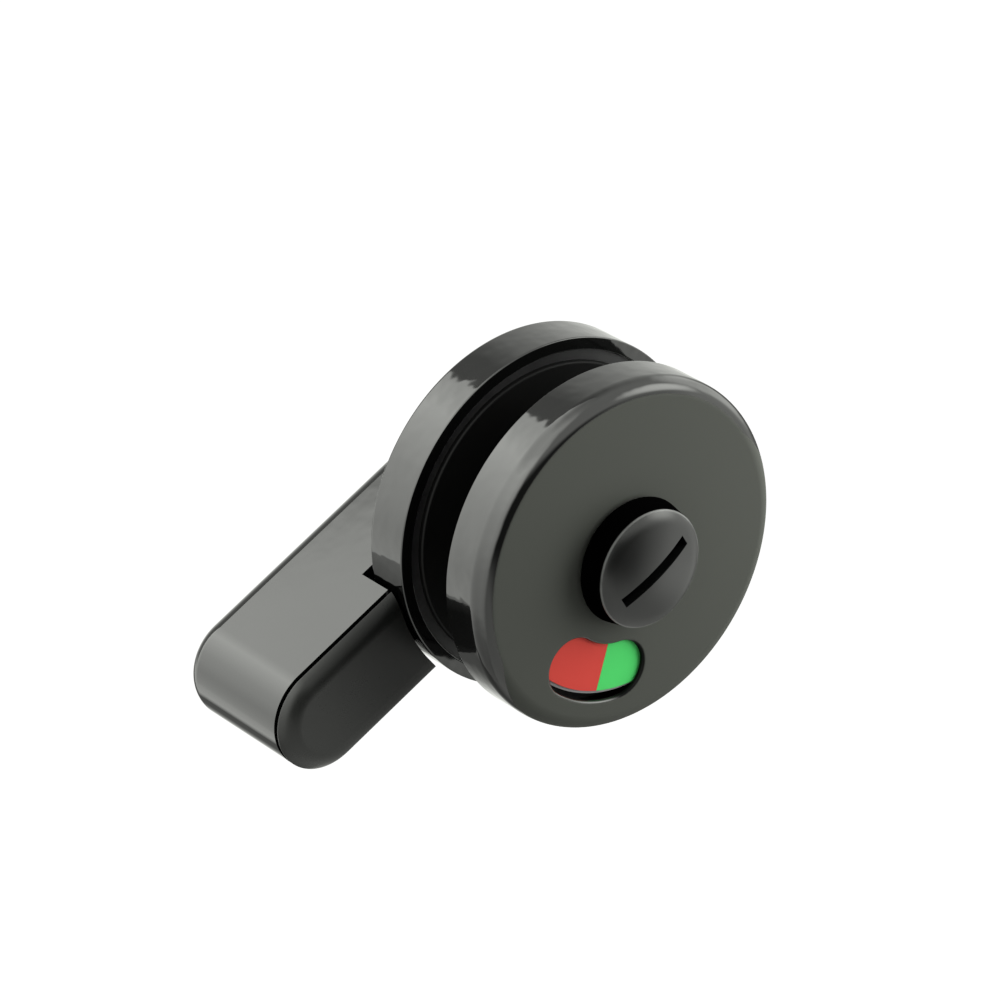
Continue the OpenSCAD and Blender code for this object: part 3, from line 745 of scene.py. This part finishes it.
# What a glossy surface sees, by direction: a wide light panel on the left, dimmer walls, a softbox front right
studio = {
    "tint": (0.983, 1.0, 0.95, 1),
    "panelNear": (-74, -54), "panelFar": (66.3, 68), "panelShare": [(-60, 0.95), (-35, 1.12), (20, 1.0)],
    "panelLevels": [(-0.97, 0.8), (-0.85, 1.2), (-0.72, 2.2), (-0.45, 2.7), (-0.23, 3.65), (0.0, 4.3), (0.26, 5.5),
                    (0.45, 6.3), (0.56, 5.2), (0.61, 4.7), (0.82, 4.5), (0.92, 2.6), (1.0, 1.6)],
    "rearLevels": [(-0.21, 0.78), (-0.08, 0.70), (0.04, 0.91), (0.17, 1.2), (0.4, 1.31), (0.58, 1.33), (0.69, 1.17),
                   (0.74, 0.9), (0.82, 0.25)],
    "lowRear": [(-0.35, 2.4), (-0.1, 1.8), (0.02, 0.1), (0.2, 0.0), (0.36, 0.3), (0.55, 0.9), (0.64, 0.9),
                (0.75, 0.1)],
    "frontLevels": [(0.3, 0.08), (0.42, 0.25), (0.54, 1.0), (0.66, 1.5), (0.74, 2.2), (0.83, 2.0), (0.92, 1.5)],
    "lowFront": [(0.4, 1.25), (0.65, 1.05), (0.8, 0.75), (0.9, 0.6)],
    "ceiling": 2.0,
    "softbox": (0.56, -0.56, 0.61), "softboxEdge": (0.93, 1.0), "softboxLevel": 5.5,
    "sideBox": (0.82, 0.1, 0.56), "sideBoxEdge": (0.88, 0.97), "sideBoxLevel": 1.8,
}


def studioGlow(r, direction):
    across, along, upward = r.split(direction)
    turn = across.maths("ARCTAN2", along, 0.0 - across) * (180 / math.pi)  # 0 left, 90 behind
    panel = r.ease(turn, *studio["panelNear"]) * r.ease(turn, *studio["panelFar"], (1.0, 0.0))
    panelLevel = r.stairs(upward, studio["panelLevels"]) * r.stairs(turn, studio["panelShare"])
    rear = r.stairs(across, studio["rearLevels"])
    lowRear = 0.25 + r.stairs(across, studio["lowRear"]) * r.ease(upward, -0.86, -0.72)
    rear = rear + r.ease(upward, -0.45, -0.15, (1.0, 0.0)) * (lowRear - rear)
    front = r.stairs(across, studio["frontLevels"])
    lowFront = r.stairs(across, studio["lowFront"])
    front = front + r.ease(upward, -0.47, -0.22, (1.0, 0.0)) * (lowFront - front)
    front = front + r.ease(upward, 0.1, 0.4) * (studio["ceiling"] - front)
    around = front + r.ease(along, -0.3, 0.35) * (rear - front)
    total = around + panel * (panelLevel - around)
    for box in ("softbox", "sideBox"):
        towards = r.node("VectorMath", {"operation": "DOT_PRODUCT"}, {0: direction, 1: studio[box]}, "Value")
        total = total + r.ease(towards, *studio[box + "Edge"]) * studio[box + "Level"]
    return total


def makeFloor():
    material, r = finish("paleFloor")
    seen = r.node("LightPath", give="Is Camera Ray")
    mirrored = r.node("LightPath", give="Is Glossy Ray")
    spot = r.node("VectorMath", {"operation": "ADD"}, {0: r.place(), 1: (0, 0, stagePlan["floorDrop"])})
    glow = studioGlow(r, r.node("VectorMath", {"operation": "NORMALIZE"}, {0: spot}))
    matt = r.node("BsdfDiffuse", {}, {"Color": stagePlan["floorColour"]})
    lift = r.node("Emission", {}, {"Color": (1, 1, 1, 1), "Strength": seen * stagePlan["cameraLift"]})
    shown = r.node("Emission", {}, {"Color": studio["tint"], "Strength": glow})
    r.surface(r.node("MixShader", {}, {0: mirrored, 1: r.node("AddShader", {}, {0: matt, 1: lift}), 2: shown}))
    return material


half, drop = stagePlan["floorHalf"], stagePlan["floorDrop"]
floorMesh = bpy.data.meshes.new("floor")
floorMesh.from_pydata([(-half, -half, 0), (half, -half, 0), (half, half, 0), (-half, half, 0)], [], [range(4)])
floorMesh.materials.append(makeFloor())
floor = linked("floor", floorMesh)
floor.location = (0, 0, drop)

world = bpy.data.worlds.new("studio")
bpy.context.scene.world = world
world.use_nodes = True
world.cycles.sampling_method = "NONE"
air = Recipe(world.node_tree)
ray = {kind: air.node("LightPath", give="Is " + kind + " Ray") for kind in ("Camera", "Glossy", "Transmission")}
white = air.node("Math", {"operation": "MAXIMUM"}, {0: ray["Camera"], 1: ray["Transmission"]})
glow = studioGlow(air, air.node("TexCoord", give="Generated"))
level = white + (1 - white) * (ray["Glossy"] * glow + (1 - ray["Glossy"]) * stagePlan["skyDiffuse"])
tint = air.blendColour(ray["Glossy"], (1, 1, 1, 1), studio["tint"])
sky = air.node("Background", {}, {"Color": tint, "Strength": level})
air.tree.links.new(sky.socket, air.tree.nodes.new("ShaderNodeOutputWorld").inputs["Surface"])


def softLight(name, place, aim, size, power):
    lampData = bpy.data.lights.new(name, "AREA")
    lampData.shape, lampData.size, lampData.size_y, lampData.energy = "RECTANGLE", size[0], size[1], power
    lamp = bpy.data.objects.new(name, lampData)
    lamp.location = place
    lamp.rotation_euler = (Vector(aim) - Vector(place)).to_track_quat("-Z", "Y").to_euler()
    lamp.visible_camera = False
    lamp.visible_glossy = False
    bpy.context.scene.collection.objects.link(lamp)


softLight("frontKey", (0.082, -0.066, 0.066), (0, 0, 0), (0.17, 0.17), 0.345)
print("stage lit")
